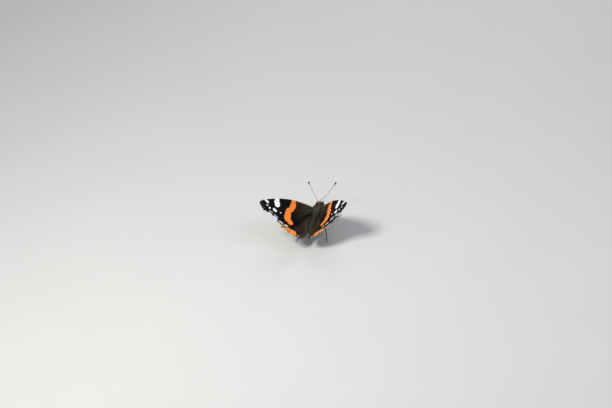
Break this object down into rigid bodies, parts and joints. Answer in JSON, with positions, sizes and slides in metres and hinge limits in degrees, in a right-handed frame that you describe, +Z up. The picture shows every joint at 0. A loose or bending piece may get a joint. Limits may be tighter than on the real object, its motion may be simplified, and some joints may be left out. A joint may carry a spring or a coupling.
{
  "type": "butterfly",
  "caption": "Still life-size model of a red admiral butterfly on its feet, with its wings half raised, its feelers spread and its proboscis coiled.",
  "frame": {"origin": "centre of the model's bounding box in plan, at the floor that the feet stand on", "axes": "+X to the butterfly's right, across the wings; +Y towards its head; +Z up"},
  "size_m": [0.0468, 0.0398, 0.0245],
  "materials": {
    "dorsal_brown": "cuticle under short dark brown hair",
    "wing_black": "membrane under fine black scales, with orange-red and white marks",
    "hindwing_brown": "membrane under fine dark brown scales, with an orange-red hind margin",
    "eye_brown": "faceted, low sheen",
    "leg_brown": "thin cuticle, satin",
    "antenna_black": "thin cuticle, satin"
  },
  "bodies": {
    "root": {"abdomen": "dorsal_brown", "antenna_left": "antenna_black", "antenna_right": "antenna_black", "eye_left": "eye_brown", "eye_right": "eye_brown", "foreleg_left": "leg_brown", "foreleg_right": "leg_brown", "forewing_left": "wing_black", "forewing_right": "wing_black", "head": "dorsal_brown", "hindleg_left": "leg_brown", "hindleg_right": "leg_brown", "hindwing_left": "hindwing_brown", "hindwing_right": "hindwing_brown", "midleg_left": "leg_brown", "midleg_right": "leg_brown", "palp_left": "dorsal_brown", "palp_right": "dorsal_brown", "proboscis": "antenna_black", "thorax": "dorsal_brown"}
  },
  "joints": []
}
